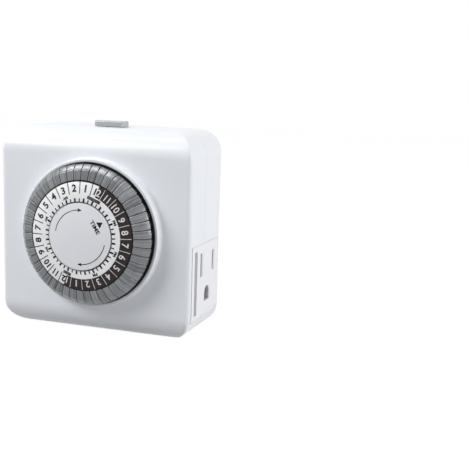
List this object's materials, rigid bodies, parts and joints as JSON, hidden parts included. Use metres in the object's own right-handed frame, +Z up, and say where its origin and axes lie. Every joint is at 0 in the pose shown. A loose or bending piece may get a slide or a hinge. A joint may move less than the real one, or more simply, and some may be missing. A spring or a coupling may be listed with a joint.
{
  "type": "plug-in timer switch",
  "caption": "Square plug-in mains timer: a rotary day dial ringed with push-in pins, an override slider on top, a grounded outlet on its side and prongs behind.",
  "frame": {"origin": "on the surface the timer stands on, under the middle of its whole box, from the front of the dial's disc to the tip of the ground pin", "axes": "-Y is the front, where the dial is, +Y points into the wall socket, +X is the outlet's side, +Z is up"},
  "size_m": [0.0784, 0.065, 0.0807],
  "materials": {
    "white_shell": "satin",
    "outlet_white": "satin",
    "disc_grey": "fine matte",
    "scale_print": "matte print",
    "black_plastic": "satin",
    "pin_grey": "satin",
    "slider_grey": "satin",
    "gear_plastic": "satin",
    "steel": "zinc plated",
    "brass": "satin",
    "winding": "tape over enamelled wire",
    "lead_rubber": "matte",
    "switch_black": "matte",
    "switch_red": "satin"
  },
  "bodies": {
    "housing": {"front_cover": "white_shell", "rear_cover": "white_shell", "housing_screws": "steel", "outlet_insert": "outlet_white", "centre_disc": "disc_grey", "dial_post": "steel", "movement_plate": "steel", "plate_screws": "steel", "gear_shaft": "steel", "motor_case": "steel", "motor_coil": "winding", "motor_screws": "steel", "motor_leads": "lead_rubber", "switch_housing": "switch_black", "switch_terminals": "brass", "lever_pivot": "steel", "lever_spring": "steel", "line_contact": "brass", "neutral_contact": "brass", "ground_contact": "brass", "line_strip": "brass", "switched_strip": "brass", "neutral_strip": "brass", "ground_strip": "brass", "line_blade": "brass", "neutral_blade": "brass", "ground_pin": "brass"},
    "dial": {"dial_drum": "black_plastic", "number_ring": "scale_print"},
    "intermediate_gear": {"intermediate_pinion": "gear_plastic", "intermediate_wheel": "gear_plastic", "clutch_spring": "steel"},
    "motor_shaft": {"motor_pinion": "gear_plastic"},
    "lever": {"switch_lever": "gear_plastic"},
    "plunger": {"switch_plunger": "switch_red"},
    "slider": {"override_slider": "slider_grey"},
    "hour_pins_01": {"hour_pins_01": "pin_grey"},
    "hour_pins_02": {"hour_pins_02": "pin_grey"},
    "hour_pins_03": {"hour_pins_03": "pin_grey"},
    "hour_pins_04": {"hour_pins_04": "pin_grey"},
    "hour_pins_05": {"hour_pins_05": "pin_grey"},
    "hour_pins_06": {"hour_pins_06": "pin_grey"},
    "hour_pins_07": {"hour_pins_07": "pin_grey"},
    "hour_pins_08": {"hour_pins_08": "pin_grey"},
    "hour_pins_09": {"hour_pins_09": "pin_grey"},
    "hour_pins_10": {"hour_pins_10": "pin_grey"},
    "hour_pins_11": {"hour_pins_11": "pin_grey"},
    "hour_pins_12": {"hour_pins_12": "pin_grey"},
    "hour_pins_13": {"hour_pins_13": "pin_grey"},
    "hour_pins_14": {"hour_pins_14": "pin_grey"},
    "hour_pins_15": {"hour_pins_15": "pin_grey"},
    "hour_pins_16": {"hour_pins_16": "pin_grey"},
    "hour_pins_17": {"hour_pins_17": "pin_grey"},
    "hour_pins_18": {"hour_pins_18": "pin_grey"},
    "hour_pins_19": {"hour_pins_19": "pin_grey"},
    "hour_pins_20": {"hour_pins_20": "pin_grey"},
    "hour_pins_21": {"hour_pins_21": "pin_grey"},
    "hour_pins_22": {"hour_pins_22": "pin_grey"},
    "hour_pins_23": {"hour_pins_23": "pin_grey"},
    "hour_pins_24": {"hour_pins_24": "pin_grey"}
  },
  "joints": [
    {"name": "dial_turn", "type": "hinge", "parent": "housing", "child": "dial", "pos_m": [0, -0.02205, 0.0394], "axis": [0, 1, 0], "continuous": true},
    {"name": "intermediate_turn", "type": "hinge", "parent": "housing", "child": "intermediate_gear", "pos_m": [-0.0141, -0.02205, 0.03427], "axis": [0, 1, 0], "continuous": true},
    {"name": "motor_turn", "type": "hinge", "parent": "housing", "child": "motor_shaft", "pos_m": [-0.0141, -0.02205, 0.02277], "axis": [0, 1, 0], "continuous": true},
    {"name": "override_slide", "type": "slide", "parent": "housing", "child": "slider", "axis": [1, 0, 0], "range_m": [-0.0035, 0]},
    {"name": "lever_swing", "type": "hinge", "parent": "housing", "child": "lever", "pos_m": [0, -0.01255, 0.0695], "axis": [1, 0, 0], "range_deg": [-10.5, 0.5], "deforming": ["lever_spring"]},
    {"name": "plunger_slide", "type": "slide", "parent": "housing", "child": "plunger", "axis": [0, 1, 0], "range_m": [-0.0009, 0.00005]},
    {"name": "pins_push_01", "type": "slide", "parent": "dial", "child": "hour_pins_01", "axis": [0, 1, 0], "range_m": [0, 0.0025]},
    {"name": "pins_push_02", "type": "slide", "parent": "dial", "child": "hour_pins_02", "axis": [0, 1, 0], "range_m": [0, 0.0025]},
    {"name": "pins_push_03", "type": "slide", "parent": "dial", "child": "hour_pins_03", "axis": [0, 1, 0], "range_m": [0, 0.0025]},
    {"name": "pins_push_04", "type": "slide", "parent": "dial", "child": "hour_pins_04", "axis": [0, 1, 0], "range_m": [0, 0.0025]},
    {"name": "pins_push_05", "type": "slide", "parent": "dial", "child": "hour_pins_05", "axis": [0, 1, 0], "range_m": [0, 0.0025]},
    {"name": "pins_push_06", "type": "slide", "parent": "dial", "child": "hour_pins_06", "axis": [0, 1, 0], "range_m": [0, 0.0025]},
    {"name": "pins_push_07", "type": "slide", "parent": "dial", "child": "hour_pins_07", "axis": [0, 1, 0], "range_m": [0, 0.0025]},
    {"name": "pins_push_08", "type": "slide", "parent": "dial", "child": "hour_pins_08", "axis": [0, 1, 0], "range_m": [0, 0.0025]},
    {"name": "pins_push_09", "type": "slide", "parent": "dial", "child": "hour_pins_09", "axis": [0, 1, 0], "range_m": [0, 0.0025]},
    {"name": "pins_push_10", "type": "slide", "parent": "dial", "child": "hour_pins_10", "axis": [0, 1, 0], "range_m": [0, 0.0025]},
    {"name": "pins_push_11", "type": "slide", "parent": "dial", "child": "hour_pins_11", "axis": [0, 1, 0], "range_m": [0, 0.0025]},
    {"name": "pins_push_12", "type": "slide", "parent": "dial", "child": "hour_pins_12", "axis": [0, 1, 0], "range_m": [0, 0.0025]},
    {"name": "pins_push_13", "type": "slide", "parent": "dial", "child": "hour_pins_13", "axis": [0, 1, 0], "range_m": [0, 0.0025]},
    {"name": "pins_push_14", "type": "slide", "parent": "dial", "child": "hour_pins_14", "axis": [0, 1, 0], "range_m": [0, 0.0025]},
    {"name": "pins_push_15", "type": "slide", "parent": "dial", "child": "hour_pins_15", "axis": [0, 1, 0], "range_m": [0, 0.0025]},
    {"name": "pins_push_16", "type": "slide", "parent": "dial", "child": "hour_pins_16", "axis": [0, 1, 0], "range_m": [0, 0.0025]},
    {"name": "pins_push_17", "type": "slide", "parent": "dial", "child": "hour_pins_17", "axis": [0, 1, 0], "range_m": [0, 0.0025]},
    {"name": "pins_push_18", "type": "slide", "parent": "dial", "child": "hour_pins_18", "axis": [0, 1, 0], "range_m": [0, 0.0025]},
    {"name": "pins_push_19", "type": "slide", "parent": "dial", "child": "hour_pins_19", "axis": [0, 1, 0], "range_m": [0, 0.0025]},
    {"name": "pins_push_20", "type": "slide", "parent": "dial", "child": "hour_pins_20", "axis": [0, 1, 0], "range_m": [0, 0.0025]},
    {"name": "pins_push_21", "type": "slide", "parent": "dial", "child": "hour_pins_21", "axis": [0, 1, 0], "range_m": [0, 0.0025]},
    {"name": "pins_push_22", "type": "slide", "parent": "dial", "child": "hour_pins_22", "axis": [0, 1, 0], "range_m": [0, 0.0025]},
    {"name": "pins_push_23", "type": "slide", "parent": "dial", "child": "hour_pins_23", "axis": [0, 1, 0], "range_m": [0, 0.0025]},
    {"name": "pins_push_24", "type": "slide", "parent": "dial", "child": "hour_pins_24", "axis": [0, 1, 0], "range_m": [0, 0.0025]}
  ],
  "couplings": [
    {"joint": "intermediate_turn", "follows": "dial_turn", "ratio": -4},
    {"joint": "motor_turn", "follows": "dial_turn", "ratio": 14.4},
    {"joint": "lever_swing", "follows": "override_slide", "rad_per_m": 49.867},
    {"joint": "plunger_slide", "follows": "override_slide", "ratio": 0.24286}
  ]
}
